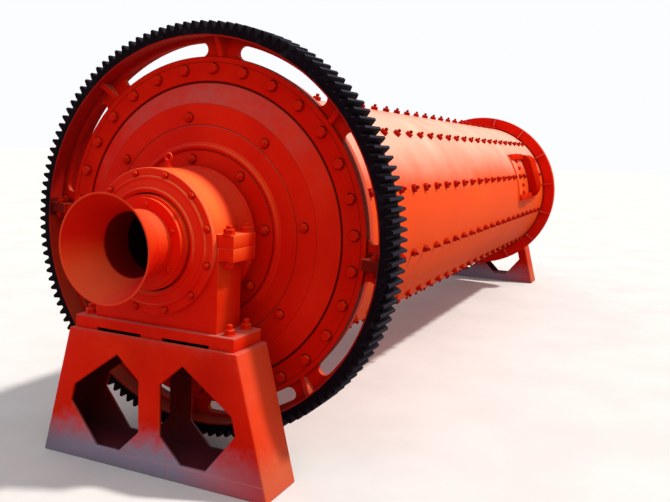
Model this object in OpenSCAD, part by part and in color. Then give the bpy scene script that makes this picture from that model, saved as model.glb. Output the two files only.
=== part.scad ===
// Horizontal ball mill: a drum on two hollow trunnions, turned by a ring gear.
// The mill axis lies along X at the height axis_h. The gear is at the -X end.
// Every end piece is drawn at the +X end, as a distance s outward from the
// end face of the shell, and is mirrored for the -X end.

/* [Shell] */
// Length of the shell over its flanges
shell_len = 6000; // [3000:100:9000]
// Inner diameter of the shell
shell_bore = 1500; // [1480:5:1520]
// Thickness of the shell plate
shell_wall = 20; // [12:1:26]
// Outer diameter of the shell flanges
flange_d = 1790; // [1770:5:1800]
// Thickness of a shell flange
flange_t = 40; // [25:1:60]
// Number of gussets behind each shell flange
gusset_count = 15; // [10:1:24]
// Length of a gusset along the shell
gusset_len = 90; // [50:5:160]
// Thickness of a gusset
gusset_t = 12; // [8:1:20]
// Angle of the first gusset
gusset_angle = 3; // [0:1:23]

/* [Ring gear] */
// Number of teeth
teeth = 132; // [128:2:140]
// Module of the teeth
gear_module = 16; // [15.5:0.1:16.5]
// Face width of the teeth
gear_face = 200; // [160:5:240]
// Pressure angle of the teeth
pressure_angle = 20; // [18:0.5:24]
// Tooth space left beside each flank at the pitch circle
backlash = 0.5; // [0.2:0.1:1]
// How far the teeth reach back over the shell flange
gear_back = 35; // [20:5:60]
// Thickness of the rim under the tooth roots
rim_t = 38; // [26:1:50]
// Thickness of the web between rim and mounting ring
web_t = 25; // [15:1:40]
// Outer radius of the mounting ring
gear_ring_r = 906; // [900:2:915]
// Thickness of the mounting ring
gear_ring_t = 45; // [35:1:60]
// Number of slots in the web
slot_count = 8; // [6:1:12]
// Angle taken by one slot, over its round ends
slot_span = 34; // [20:1:36]
// Inner radius of the slots
slot_in_r = 907.5; // [904:0.5:925]
// Outer radius of the slots
slot_out_r = 978; // [965:1:985]
// Angle of the joint between the two gear halves
split_angle = 4.3; // [0:0.1:20]
// Thickness of the ribs and joint lugs
rib_t = 26; // [16:1:36]
// Height of the ribs over the web
rib_h = 78; // [50:2:95]

/* [End cover] */
// Radius of the spigot that centres the gear
spigot_r = 785; // [780:1:790]
// Thickness of the cover flange
cover_flange_t = 40; // [25:1:60]
// Width of the groove between the gear's bore and the sloping band
groove_w = 12; // [6:1:20]
// Depth of that groove
groove_depth = 14; // [6:1:20]
// Distance of the raised flat from the end face of the shell
cover_rise = 134; // [110:1:145]
// Radius where the sloping band meets the raised flat
cover_flat_r = 668; // [620:2:700]
// Radius of the rounded ridge round the trunnion seat
ridge_r = 451; // [446:1:462]
// Radius of the ridge bead
ridge_bead = 12; // [8:1:16]
// Thickness of the cover wall
cover_wall = 44; // [36:1:60]
// Depth of the turned line in the raised flat
line_depth = 3; // [2:0.5:6]
// Radius of the turned line in the raised flat
line_r = 560; // [520:5:600]

/* [Trunnion] */
// Radius of the trunnion flange
neck_flange_r = 430; // [415:1:434]
// Thickness of the trunnion flange
neck_flange_t = 34; // [24:1:45]
// Radius of the journal
journal_r = 225; // [216:1:232]
// Radius of the bore of the trunnion
neck_bore_r = 168; // [162:1:176]
// Radius of the fillet between neck and flange
neck_fillet = 30; // [10:2:50]

/* [Bearing] */
// Height of the mill axis above the ground
axis_h = 1150; // [1110:1:1300]
// Distance of the sole plate's top below the mill axis
bearing_drop = 405; // [395:1:440]
// Distance of the bearing middle from the end face of the shell
bearing_s = 415; // [400:5:520]
// Length of the bearing housing along the axis
housing_len = 206; // [180:2:240]
// Outer radius of the housing cap
housing_r = 346; // [330:1:360]
// Half width of the bearing base
base_half_w = 354; // [340:1:365]
// Radius of the bush, outside
bush_r = 264; // [255:1:275]
// Running clearance of the journal in the bush, on the radius
journal_gap = 0.06; // [0.02:0.01:0.1]
// Height of each joint lug
lug_h = 62; // [40:2:80]
// Half width over the joint lugs
lug_half_w = 434; // [420:2:450]
// Length of the joint lugs along the axis
lug_len = 198; // [150:2:206]
// Thickness of the front cover at its bolts
front_cover_t = 31; // [20:1:40]
// Radius of the outer ridge on the front cover
front_ridge_r = 302; // [292:1:308]
// Radius of the inner ridge on the front cover
front_lip_r = 250; // [246:1:262]
// Gap between the covers and the turning trunnion, on the radius
cover_gap = 8; // [6:1:12]
// Length of the rear cover
rear_cover_len = 130; // [90:5:140]

/* [Sole plate] */
// Half width of the sole plate
sole_half_w = 463; // [450:1:480]
// Length of the sole plate along the axis
sole_len = 250; // [220:5:280]
// Thickness of the sole plate
sole_t = 66; // [45:1:80]
// Depth of the two slots under the sole plate
sole_slot_h = 13; // [8:1:20]
// Length of each slot under the sole plate
sole_slot_w = 262; // [200:2:300]
// Distance of the middle of each slot from the middle of the sole plate
sole_slot_y = 195; // [170:5:220]

/* [Pedestal] */
// Half width of the pedestal at its top
ped_top_w = 488; // [470:1:510]
// Half width of the pedestal at the ground
ped_foot_w = 668; // [600:2:720]
// Length of the pedestal along the axis
ped_len = 286; // [270:2:320]
// Wall thickness of the pedestal
ped_wall = 24; // [16:1:36]
// Thickness of the pedestal floor
ped_floor = 72; // [40:1:90]
// Thickness of the pedestal head under the sole plate
ped_head = 60; // [40:1:90]
// Width of the rails left above and outside each cut-out
ped_rail = 102; // [80:2:120]
// Half width of the middle web between the cut-outs
ped_web = 63; // [50:1:80]
// Height of the cut-outs' lower edge over the pedestal floor
hole_sill = 14; // [4:1:30]
// Distance of a cut-out's peak from the middle
hole_peak_y = 192; // [150:2:240]
// Distance of the inner end of a cut-out's lower edge from the middle
hole_sill_in = 183; // [150:2:240]
// Distance of the outer end of a cut-out's lower edge from the middle
hole_sill_out = 326; // [280:2:360]
// Fall of the inner upper edge of a cut-out
hole_fall_in = 112; // [80:2:140]
// Fall of the outer upper edge of a cut-out
hole_fall_out = 196; // [160:2:220]
// Rise of the inner lower edge of a cut-out
hole_rise_in = 118; // [80:2:140]
// Rise of the outer lower edge of a cut-out
hole_rise_out = 206; // [160:2:230]

/* [Mouth] */
// Radius of the mouth flange
mouth_flange_r = 213; // [205:1:216]
// Thickness of the mouth flange
mouth_flange_t = 20; // [14:1:30]
// Radius of the clear way through the mouth
throat_r = 152; // [145:1:156]
// Thickness of the mouth plate
mouth_wall = 8; // [6:1:10]
// Radius of the rim of the mouth, inside
rim_r = 240; // [225:1:260]
// Length of the flared part
flare_len = 186; // [150:2:240]
// Length of the straight part outside the flange
mouth_neck = 80; // [60:2:120]

/* [Manhole] */
// Distance of the near edge of the manhole door from the end of the shell
manhole_s = 1075; // [850:25:1400]
// Angle of the manhole middle
manhole_angle = 162; // [150:1:170]
// Length of the frame along the shell
frame_len = 1020; // [900:10:1100]
// Width of the frame across the shell
frame_w = 490; // [486:1:560]
// Thickness of the frame plate on the shell
frame_h = 14; // [10:1:30]
// Length of the opening along the shell
opening_len = 262; // [200:2:270]
// Width of the opening across the shell
opening_w = 400; // [300:2:410]
// Length of the raised door along the shell
door_len = 310; // [300:5:400]
// Width of the raised door across the shell
door_w = 476; // [450:2:480]
// Height of the door over the frame
door_h = 76; // [60:1:130]
// Wall thickness of the door
door_t = 14; // [8:1:20]
// Width of a clamp arm
arm_w = 60; // [40:1:70]
// Height of a clamp arm over the frame
arm_h = 37; // [25:1:60]
// Length of a clamp arm
arm_len = 498; // [400:2:500]
// Length of the sloping toe of a clamp arm
arm_toe = 150; // [60:10:240]
// Height of the end of a clamp arm's toe
arm_toe_h = 15; // [5:1:24]

/* [Hidden] */
$fn = 96;

// Derived sizes of the shell and its flanges
shell_r = shell_bore / 2 + shell_wall;
half_len = shell_len / 2;
flange_r = flange_d / 2;
gusset_top_r = flange_r - 5;

// Derived sizes of the gear teeth
pitch_r = gear_module * teeth / 2;
tip_r = pitch_r + gear_module;
root_r = pitch_r - 1.25 * gear_module;
base_r = pitch_r * cos(pressure_angle);
tooth_angle = 360 / teeth;
rim_in_r = root_r - rim_t;
gear_back_s = -gear_back;
gear_front_s = gear_back_s + gear_face;
ring_back_s = cover_flange_t;
ring_front_s = ring_back_s + gear_ring_t;
web_front_s = ring_back_s + web_t;
gear_bore_r = spigot_r + 0.5;
slot_mid_r = (slot_in_r + slot_out_r) / 2;
slot_half_w = (slot_out_r - slot_in_r) / 2;
slot_end_angle = slot_span / 2 - asin(slot_half_w / slot_mid_r);
slot_pitch = 360 / slot_count;
rib_foot_r = slot_in_r - 13.5;

// Derived sizes of the end cover
band_foot_s = ring_front_s - 3;
spigot_top_s = band_foot_s - groove_depth;
seat_s = cover_rise - 24;
seat_r = neck_flange_r + 1;
cover_bore_r = journal_r - 15;

// Derived sizes of the trunnion and the bearing
neck_flange_s = seat_s + neck_flange_t;
housing_back_s = bearing_s - housing_len / 2;
housing_front_s = bearing_s + housing_len / 2;
cover_lip_r = journal_r + cover_gap;
neck_end_s = housing_front_s + front_cover_t + 38;
bush_bore_r = journal_r + journal_gap;
bush_side = 6;
rear_cover_s = housing_back_s - rear_cover_len;
rear_bead = 6;
rear_wall = 22;

// Derived heights of the stand, above the ground
sole_top_z = axis_h - bearing_drop;
ped_h = sole_top_z - sole_t;
ped_slope = (ped_foot_w - ped_top_w) / ped_h;
hole_top_z = ped_h - ped_rail;
hole_sill_z = ped_floor + hole_sill;

// Corners of a pedestal cut-out, as distance from the middle and height
function rail_y(z) = ped_foot_w - ped_slope * z - ped_rail;
hole_points = [
  [hole_peak_y, hole_top_z],
  [ped_web, hole_top_z - hole_fall_in],
  [ped_web, hole_sill_z + hole_rise_in],
  [hole_sill_in, hole_sill_z],
  [hole_sill_out, hole_sill_z],
  [rail_y(hole_sill_z + hole_rise_out), hole_sill_z + hole_rise_out],
  [rail_y(hole_top_z - hole_fall_out), hole_top_z - hole_fall_out]];

// Derived sizes of the mouth
mouth_s = neck_end_s;
flare_s = mouth_s + mouth_flange_t + mouth_neck;
rim_s = flare_s + flare_len;
liner_out_r = neck_bore_r - 2;
liner_len = 300;

// Derived sizes of the manhole
pad_r = shell_r + frame_h;
door_x = half_len - manhole_s;
half_door = door_w / 2;
door_foot_r = sqrt(pad_r * pad_r - half_door * half_door) - 5;
door_top_r = pad_r + door_h;
arm_y = half_door + 4 - arm_w / 2;
arm_foot_r = sqrt(pad_r * pad_r - arm_y * arm_y);

// Rounded long edges of the door, as depth under its top and distance from its side
door_upper_edge = [[92, 0], [46, 18], [14, 50], [0, 90]];
door_lower_edge = [[0, 107], [36, 47], [76, 13]];

// An involute's rolling angle in degrees at radius r
function rolled(r) = let (a = acos(base_r / r)) tan(a) * 180 / PI - a;
// Half the angle that a tooth takes at radius r
function half_tooth(r) =
  90 / teeth - backlash / pitch_r * 180 / PI / 2 + rolled(pitch_r) - rolled(r);
// One point at an angle and a radius
function at(r, a) = [r * cos(a), r * sin(a)];
// Outline of one tooth round the angle a, from gap to gap
function tooth(a) = [
  for (r = [root_r, pitch_r - 0.6 * gear_module, pitch_r, pitch_r + 0.6 * gear_module, tip_r])
    at(r, a - half_tooth(r)),
  for (r = [tip_r, pitch_r + 0.6 * gear_module, pitch_r, pitch_r - 0.6 * gear_module, root_r])
    at(r, a + half_tooth(r))
];
// Outline of half the gear, closed through the middle
half_gear_points = [
  [0, 0],
  at(root_r, 0),
  for (i = [0 : teeth / 2 - 1]) each tooth((i + 0.5) * tooth_angle),
  at(root_r, 180)
];

// Places children with their z axis along the mill axis at x, x axis to +Y
module on_axis(x) {
  translate([x, 0, axis_h]) rotate([90, 0, 90]) children();
}

// Draws an end piece at the +X end, or mirrored at the -X end
module at_end(side) {
  if (side > 0) translate([half_len, 0, 0]) children();
  else mirror([1, 0, 0]) translate([half_len, 0, 0]) children();
}

// A tube on the z axis
module tube(inside, outside, from, to) {
  translate([0, 0, from]) difference() {
    cylinder(r = outside, h = to - from);
    translate([0, 0, -1]) cylinder(r = inside, h = to - from + 2);
  }
}

// The half space on the side where y is above zero
module half_space(size, from, to) {
  translate([-size, 0, from]) cube([2 * size, size, to - from]);
}

module drum_shell() {
  color("orangered") difference() {
    on_axis(-half_len + flange_t) cylinder(r = shell_r, h = shell_len - 2 * flange_t);
    on_axis(-half_len) cylinder(r = shell_bore / 2, h = shell_len);
    manhole_cut();
  }
}

// Places children with their x axis out through the manhole and y across it
module at_manhole(x) {
  translate([x, 0, axis_h]) rotate([90, 0, 90]) rotate([0, 0, manhole_angle]) children();
}

// The opening of the manhole through shell and frame
module manhole_cut() {
  at_manhole(door_x + (door_len - opening_len) / 2)
    translate([shell_r / 2, -opening_w / 2, 0]) cube([pad_r - shell_r / 2 + 1, opening_w, opening_len]);
}

module shell_flange() {
  on_axis(0) {
    tube(shell_bore / 2, flange_r, -flange_t, 0);
    for (i = [0 : gusset_count - 1])
      rotate([0, 0, gusset_angle + i * 360 / gusset_count])
        translate([0, gusset_t / 2, -flange_t]) rotate([90, 0, 0])
          linear_extrude(gusset_t)
            polygon([[shell_r + 0.3, 0.2], [gusset_top_r, 0.2], [gusset_top_r, -16], [shell_r + 0.3, -gusset_len]]);
  }
}

module end_cover() {
  on_axis(0) rotate_extrude($fn = 180) polygon([
    [shell_bore / 2 - 6, 0], [flange_r, 0], [flange_r, cover_flange_t],
    [spigot_r, cover_flange_t], [spigot_r, spigot_top_s],
    [spigot_r - groove_w, spigot_top_s], [spigot_r - groove_w, band_foot_s],
    [cover_flat_r, cover_rise],
    [line_r + 4, cover_rise], [line_r, cover_rise - line_depth], [line_r - 4, cover_rise],
    [ridge_r + 2 * ridge_bead, cover_rise],
    for (a = [0 : 30 : 180]) [ridge_r + ridge_bead * cos(a), cover_rise + 8 + ridge_bead * sin(a)],
    [seat_r, cover_rise], [seat_r, seat_s], [cover_bore_r, seat_s],
    [cover_bore_r, seat_s - cover_wall], [cover_flat_r - 30, cover_rise - cover_wall - 24],
    [shell_bore / 2 - 6, cover_flange_t - 20]]);
}

module trunnion() {
  on_axis(0) rotate_extrude($fn = 120) polygon([
    [neck_bore_r, seat_s], [neck_flange_r, seat_s], [neck_flange_r, neck_flange_s],
    [journal_r + neck_fillet, neck_flange_s],
    for (a = [15 : 15 : 75]) [journal_r + neck_fillet - neck_fillet * sin(a), neck_flange_s + neck_fillet * (1 - cos(a))],
    [journal_r, neck_flange_s + neck_fillet],
    [journal_r, neck_end_s], [neck_bore_r, neck_end_s]]);
}

module mouth() {
  on_axis(0) rotate_extrude($fn = 120) polygon([
    [throat_r, mouth_s - liner_len], [liner_out_r, mouth_s - liner_len],
    [liner_out_r, mouth_s], [mouth_flange_r, mouth_s],
    [mouth_flange_r, mouth_s + mouth_flange_t],
    [throat_r + mouth_wall, mouth_s + mouth_flange_t],
    [throat_r + mouth_wall, flare_s],
    for (t = [0.2 : 0.2 : 1]) [flare_r(t) + mouth_wall, flare_s + t * flare_len],
    for (t = [1 : -0.2 : 0.1]) [flare_r(t), flare_s + t * flare_len],
    [throat_r, flare_s]]);
}

// Inner radius of the flare, from its throat at t = 0 to its rim at t = 1
function flare_r(t) = throat_r + (rim_r - throat_r) * (0.75 * t + 0.25 * t * t);

// One half of the ring gear, turned so that its joint lies at the angle given
module ring_gear_half(angle) {
  at_end(-1) on_axis(0) rotate([0, 0, angle]) {
    difference() {
      translate([0, 0, gear_back_s]) linear_extrude(gear_face) polygon(half_gear_points);
      translate([0, 0, gear_back_s - 1]) cylinder(r = rim_in_r, h = gear_face + 2, $fn = 240);
    }
    difference() {
      intersection() {
        union() {
          tube(gear_bore_r, gear_ring_r, ring_back_s, ring_front_s);
          tube(gear_bore_r, rim_in_r + 1, ring_back_s, web_front_s);
        }
        half_space(rim_in_r + 2, ring_back_s - 1, ring_front_s + 1);
      }
      for (i = [0 : slot_count / 2 - 1]) web_slot((i + 0.5) * slot_pitch);
    }
    for (i = [1 : slot_count / 2 - 1]) web_rib(i * slot_pitch, rib_t);
    joint_lug(0, 1);
    joint_lug(180, -1);
  }
}

// Outline of one slot of the gear web, round its middle angle
function slot_points(mid, e) = concat(
  [for (i = [0 : 16]) at(slot_out_r, mid - e + e * i / 8)],
  [for (t = [18 : 18 : 162]) at(slot_mid_r, mid + e) + at(slot_half_w, mid + e + t)],
  [for (i = [0 : 16]) at(slot_in_r, mid + e - e * i / 8)],
  [for (t = [18 : 18 : 162]) at(slot_mid_r, mid - e) + at(slot_half_w, mid - e + 180 + t)]);

module web_slot(angle) {
  translate([0, 0, ring_back_s - 1]) linear_extrude(gear_ring_t + 2)
    polygon(slot_points(angle, slot_end_angle));
}

// A rib on a spoke, between mounting ring and rim
module web_rib(angle, thickness) {
  rotate([0, 0, angle]) translate([0, thickness / 2, 0]) rotate([90, 0, 0])
    linear_extrude(thickness) rib_outline();
}

module rib_outline() {
  polygon([[rib_foot_r, web_front_s - 1], [rim_in_r + 2, web_front_s - 1],
    [rim_in_r + 2, web_front_s + rib_h], [slot_in_r + rib_t, ring_front_s + 14],
    [rib_foot_r, ring_front_s - 1]]);
}

// Half of the bolted joint of the two gear halves
module joint_lug(angle, side) {
  rotate([0, 0, angle]) translate([0, side > 0 ? rib_t : 0, 0]) rotate([90, 0, 0])
    linear_extrude(rib_t) polygon([[rib_foot_r, web_front_s - 1],
      [rim_in_r + 2, web_front_s - 1], [rim_in_r + 2, gear_front_s - 18],
      [rib_foot_r + 12, gear_front_s - 18], [rib_foot_r, ring_front_s + 4]]);
}

module manhole_frame() {
  color("firebrick") difference() {
    at_manhole(door_x - frame_len / 2) intersection() {
      tube(shell_r, pad_r, 0, frame_len);
      translate([0, -frame_w / 2, 0]) cube([pad_r + 1, frame_w, frame_len]);
    }
    manhole_cut();
  }
}

// Outline of the raised door, from its foot to its flat top, inset all round
module door_outline(inset) {
  w = half_door - inset;
  top = door_top_r - inset;
  polygon([[door_foot_r, -w],
    for (p = door_upper_edge) [top - p.x, p.y - w],
    for (p = door_lower_edge) [top - p.x, w - p.y],
    [door_foot_r, w]]);
}

module manhole_door() {
  color("firebrick") at_manhole(door_x) difference() {
    linear_extrude(door_len) door_outline(0);
    translate([0, 0, door_t]) linear_extrude(door_len - 2 * door_t) door_outline(door_t);
    translate([0, 0, -1]) cylinder(r = pad_r, h = door_len + 2, $fn = 240);
  }
}

// A clamp arm on the frame, on one side of the manhole
module clamp_arm(side) {
  top = arm_foot_r + arm_h;
  at_manhole(door_x - arm_len) difference() {
    translate([0, side * arm_y - arm_w / 2, 0]) rotate([-90, 0, 0]) mirror([0, 1, 0])
      linear_extrude(arm_w) polygon([
        [door_foot_r - 10, 0], [arm_foot_r + arm_toe_h, 0], [top, arm_toe],
        [top, arm_len - 0.3], [door_foot_r - 10, arm_len - 0.3]]);
    translate([0, 0, -1]) cylinder(r = pad_r, h = arm_len + 2, $fn = 240);
  }
}

// Outline of the pedestal seen along the axis, shrunk all round by the wall
module pedestal_outline(wall, floor_t, head_t) {
  side = wall * sqrt(1 + ped_slope * ped_slope);
  foot = ped_foot_w - side - ped_slope * floor_t;
  top = ped_top_w - side + ped_slope * head_t;
  polygon([[-foot, floor_t], [foot, floor_t], [top, ped_h - head_t], [-top, ped_h - head_t]]);
}

module pedestal() {
  translate([bearing_s, 0, 0]) rotate([90, 0, 90]) difference() {
    translate([0, 0, -ped_len / 2]) linear_extrude(ped_len) pedestal_outline(0, 0, 0);
    translate([0, 0, -ped_len / 2 + ped_wall]) linear_extrude(ped_len - 2 * ped_wall)
      pedestal_outline(ped_wall, ped_floor, ped_head);
    for (side = [0, 1]) mirror([side, 0, 0])
      translate([0, 0, -ped_len]) linear_extrude(2 * ped_len) polygon(hole_points);
  }
}

module sole_plate() {
  translate([bearing_s - sole_len / 2, 0, ped_h]) difference() {
    translate([0, -sole_half_w, 0]) cube([sole_len, 2 * sole_half_w, sole_t]);
    for (side = [-1, 1]) translate([-1, side * sole_slot_y - sole_slot_w / 2, -1])
      cube([sole_len + 2, sole_slot_w, sole_slot_h + 1]);
  }
}

module bearing_base() {
  difference() {
    translate([housing_back_s, 0, 0]) {
      translate([0, -base_half_w, sole_top_z]) cube([housing_len, 2 * base_half_w, axis_h - sole_top_z]);
      translate([(housing_len - lug_len) / 2, -lug_half_w, axis_h - lug_h])
        cube([lug_len, 2 * lug_half_w, lug_h]);
    }
    on_axis(0) cylinder(r = bush_r, h = 2 * housing_front_s);
  }
}

module bearing_cap() {
  difference() {
    translate([housing_back_s, 0, axis_h]) {
      rotate([90, 0, 90]) intersection() {
        cylinder(r = housing_r, h = housing_len, $fn = 160);
        half_space(housing_r + 1, -1, housing_len + 1);
      }
      translate([(housing_len - lug_len) / 2, -lug_half_w, 0]) cube([lug_len, 2 * lug_half_w, lug_h]);
    }
    on_axis(0) cylinder(r = bush_r, h = 2 * housing_front_s);
  }
}

module bush_half(turn) {
  on_axis(0) rotate([0, 0, turn]) intersection() {
    tube(bush_bore_r, bush_r, housing_back_s + bush_side, housing_front_s - bush_side);
    half_space(bush_r + 1, housing_back_s, housing_front_s);
  }
}

module front_cover() {
  face_s = housing_front_s + front_cover_t;
  on_axis(0) rotate_extrude($fn = 160) polygon([
    [cover_lip_r, housing_front_s], [housing_r + 3, housing_front_s],
    [housing_r + 3, face_s - 4], [housing_r - 1, face_s],
    [front_ridge_r + 10, face_s],
    for (a = [0 : 30 : 150]) [front_ridge_r + 9 * cos(a), face_s + 3 + 8 * sin(a)],
    [front_ridge_r - 10, face_s + 6], [front_lip_r + 8, face_s + 14],
    for (a = [0 : 30 : 150]) [front_lip_r + 7 * cos(a), face_s + 18 + 7 * sin(a)],
    [cover_lip_r, face_s + 14]]);
}

module rear_cover() {
  inner_r = housing_r - 1 - rear_wall;
  on_axis(0) rotate_extrude($fn = 160) polygon([
    [cover_lip_r, rear_cover_s], [housing_r + rear_bead, rear_cover_s],
    [housing_r + rear_bead, rear_cover_s + 14], [housing_r - 1, rear_cover_s + 18],
    [housing_r - 1, housing_back_s], [inner_r, housing_back_s],
    [inner_r, rear_cover_s + rear_wall], [cover_lip_r, rear_cover_s + rear_wall]]);
}

module lifting_eye() {
  translate([bearing_s, 0, axis_h + housing_r]) {
    translate([0, 0, 0.1]) cylinder(r = 16, h = 8);
    translate([0, 0, 4]) cylinder(r = 8, h = 30);
    translate([0, 0, 50]) rotate([90, 0, 90]) rotate_extrude($fn = 48) translate([18, 0]) circle(r = 5.5, $fn = 24);
  }
}

module manhole_upper_clamp() color("firebrick") clamp_arm(-1);
module manhole_lower_clamp() color("firebrick") clamp_arm(1);
module gear_end_shell_flange() color("orangered") at_end(-1) shell_flange();
module far_end_shell_flange() color("orangered") at_end(1) shell_flange();
module gear_end_cover() color("red") at_end(-1) end_cover();
module far_end_cover() color("red") at_end(1) end_cover();
module gear_end_trunnion() color("red") at_end(-1) trunnion();
module far_end_trunnion() color("red") at_end(1) trunnion();
module gear_end_mouth() color("tomato") at_end(-1) mouth();
module far_end_mouth() color("tomato") at_end(1) mouth();
module ring_gear_upper_half() color("dimgray") ring_gear_half(split_angle);
module ring_gear_lower_half() color("dimgray") ring_gear_half(split_angle + 180);
module gear_end_pedestal() color("orangered") at_end(-1) pedestal();
module far_end_pedestal() color("orangered") at_end(1) pedestal();
module gear_end_sole_plate() color("orangered") at_end(-1) sole_plate();
module far_end_sole_plate() color("orangered") at_end(1) sole_plate();
module gear_end_bearing_base() color("red") at_end(-1) bearing_base();
module far_end_bearing_base() color("red") at_end(1) bearing_base();
module gear_end_bearing_cap() color("tomato") at_end(-1) bearing_cap();
module far_end_bearing_cap() color("tomato") at_end(1) bearing_cap();
module gear_end_bush_lower() color("goldenrod") at_end(-1) bush_half(180);
module far_end_bush_lower() color("goldenrod") at_end(1) bush_half(180);
module gear_end_bush_upper() color("goldenrod") at_end(-1) bush_half(0);
module far_end_bush_upper() color("goldenrod") at_end(1) bush_half(0);
module gear_end_front_cover() color("red") at_end(-1) front_cover();
module far_end_front_cover() color("red") at_end(1) front_cover();
module gear_end_rear_cover() color("red") at_end(-1) rear_cover();
module far_end_rear_cover() color("red") at_end(1) rear_cover();
module gear_end_lifting_eye() color("tomato") at_end(-1) lifting_eye();
module far_end_lifting_eye() color("tomato") at_end(1) lifting_eye();

drum_shell();
gear_end_shell_flange();
far_end_shell_flange();
gear_end_cover();
far_end_cover();
gear_end_trunnion();
far_end_trunnion();
gear_end_mouth();
far_end_mouth();
ring_gear_upper_half();
ring_gear_lower_half();
manhole_frame();
manhole_door();
manhole_upper_clamp();
manhole_lower_clamp();
gear_end_pedestal();
far_end_pedestal();
gear_end_sole_plate();
far_end_sole_plate();
gear_end_bearing_base();
far_end_bearing_base();
gear_end_bearing_cap();
far_end_bearing_cap();
gear_end_bush_lower();
far_end_bush_lower();
gear_end_bush_upper();
far_end_bush_upper();
gear_end_front_cover();
far_end_front_cover();
gear_end_rear_cover();
far_end_rear_cover();
gear_end_lifting_eye();
far_end_lifting_eye();
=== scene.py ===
import math
import random

import bpy
from mathutils import Matrix, Vector


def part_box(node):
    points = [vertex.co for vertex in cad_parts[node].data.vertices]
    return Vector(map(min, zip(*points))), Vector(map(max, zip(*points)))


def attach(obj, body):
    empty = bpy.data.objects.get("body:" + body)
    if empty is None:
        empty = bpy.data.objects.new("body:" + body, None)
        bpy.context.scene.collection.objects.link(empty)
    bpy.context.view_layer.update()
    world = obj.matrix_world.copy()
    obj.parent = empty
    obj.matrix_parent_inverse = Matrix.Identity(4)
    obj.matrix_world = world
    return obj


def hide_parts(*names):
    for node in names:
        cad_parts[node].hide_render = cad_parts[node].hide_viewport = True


bl_info = {
    "name": "Ball mill",
    "version": (1, 0, 0),
    "blender": (4, 5, 0),
    "location": "3D View > Sidebar > Ball mill",
    "description": "Dresses the packed ball mill with fasteners, finishes and a stage",
    "category": "Object",
}

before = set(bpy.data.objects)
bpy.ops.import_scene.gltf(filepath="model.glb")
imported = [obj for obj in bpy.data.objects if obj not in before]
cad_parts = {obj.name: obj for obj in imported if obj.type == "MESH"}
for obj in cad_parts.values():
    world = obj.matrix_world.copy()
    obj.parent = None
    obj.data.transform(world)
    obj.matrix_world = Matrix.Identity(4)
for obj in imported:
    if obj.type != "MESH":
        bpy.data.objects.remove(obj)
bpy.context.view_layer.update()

STAND = "stand"
ROTOR = "rotor"
ENDS = {"gear_end": -1, "far_end": 1}

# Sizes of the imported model, in metres. s is the distance outward from the
# end face of the shell, as in the part's source.
HALF_LENGTH = 3.0
SHELL_LOW, SHELL_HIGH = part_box("drum_shell")
SHELL_RADIUS = (SHELL_HIGH[1] - SHELL_LOW[1]) / 2
AXIS_HEIGHT = (SHELL_LOW[2] + SHELL_HIGH[2]) / 2
FLANGE_FACE = 0.040
GEAR_RING_FACE = 0.085
RAISED_FLAT = 0.134
# Dark rings on the end covers, as radius, half width and strength: two turned lines, and painted shade in the
# groove beside the gear ring.
DARK_RINGS = ((0.560, 0.0022, 0.42), (0.668, 0.0010, 0.30), (0.779, 0.0062, 0.68))
RING_LIP = (0.878, 0.906)
NECK_FLANGE_FACE = 0.144
HOUSING_PLACE = HALF_LENGTH + 0.415
FRONT_COVER_JOINT = 0.518
FRONT_COVER_FACE = 0.549
THROAT_RADIUS = 0.152
THROAT_PAINTED = 0.520
MOUTH_FLANGE_FACE = 0.607
FLARE_START = 0.687
RIM_FACE = -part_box("gear_end_mouth")[0][0] - HALF_LENGTH
LUG_TOP = 0.062
SOLE_LOW, SOLE_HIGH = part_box("gear_end_sole_plate")
SOLE_TOP = SOLE_HIGH[2]
SOLE_HALF = (SOLE_HIGH[0] - SOLE_LOW[0]) / 2
SOLE_SLOT = 0.013
SLOT_MIDDLE = 0.195
SLOT_HALF = 0.131
PEDESTAL_HALF = 0.143
PEDESTAL_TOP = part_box("gear_end_pedestal")[1][2]
PEDESTAL_FOOT = 0.668
PEDESTAL_SLOPE = 0.265
SEAM_HEIGHT = 0.0775
SPLIT_ANGLE = 4.3
MANHOLE_ANGLE = 162.0
MANHOLE_HALF_ANGLE = 21.0
MANHOLE_NUT_ANGLES = (150.0, 155.5, 168.5, 174.0)
MANHOLE_NUT_PLACE = 1.60
DOOR_CLEARANCE = 0.03
FRAME_TOP = 0.784

# Bolt circles round the axis, rows of bolts beside it, and how deep bolts sink into their seats.
LINER_FIRST_ANGLE = 12.0
FLANGE_RING = 0.846
COVER_RING = 0.601
TRUNNION_RING = 0.3895
MOUTH_RING = 0.1845
FRONT_COVER_RING = 0.3275
PLUG_RING = 0.2735
GEAR_JOINT_RING = 0.966
GEAR_JOINT_DEPTHS = (0.118, 0.082)
GEAR_LUG_HALF = 0.0258
STUD_ROW = 0.396
STUD_OFFSET = 0.0775
HOLD_DOWN_ROW = 0.408
HOLD_DOWN_OFFSET = 0.95
FLAT_SINK = 0.0005
SMALL_SINK = 0.0003
ROUND_SINK = 0.0015

# Where finishes change: along the axis by s, or by the radius round it, from one value to the next.
# Painted sunlight on the bearing caps: weak at the rear as painted shadow of the gear, strong at the front.
SUNLIT_CAP = (0.34, 0.46)
LUG_START = (0.350, 0.354)
DUSTY_COVER = (0.50, 0.55)
CLEAN_JOURNAL = 0.24
JOURNAL_BORE = 0.171
# Grease and painted shade on the gear's web toward its rim.
GEAR_FILM_AND_SHADE = (0.96, 1.04)
GEAR_BLACK = (1.003, 1.006)
GEAR_TIPS = (1.062, 1.068)
# Painted shade below the gear's split joints, by distance from the split plane.
GEAR_JOINT_SHADE = (0.060, 0.040)
HOLLOW_FLOOR = (0.09, 0.02)
SEAM_STOP = (0.107, 0.104)
SEAM_DROPS = (0.104, -0.118)
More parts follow.
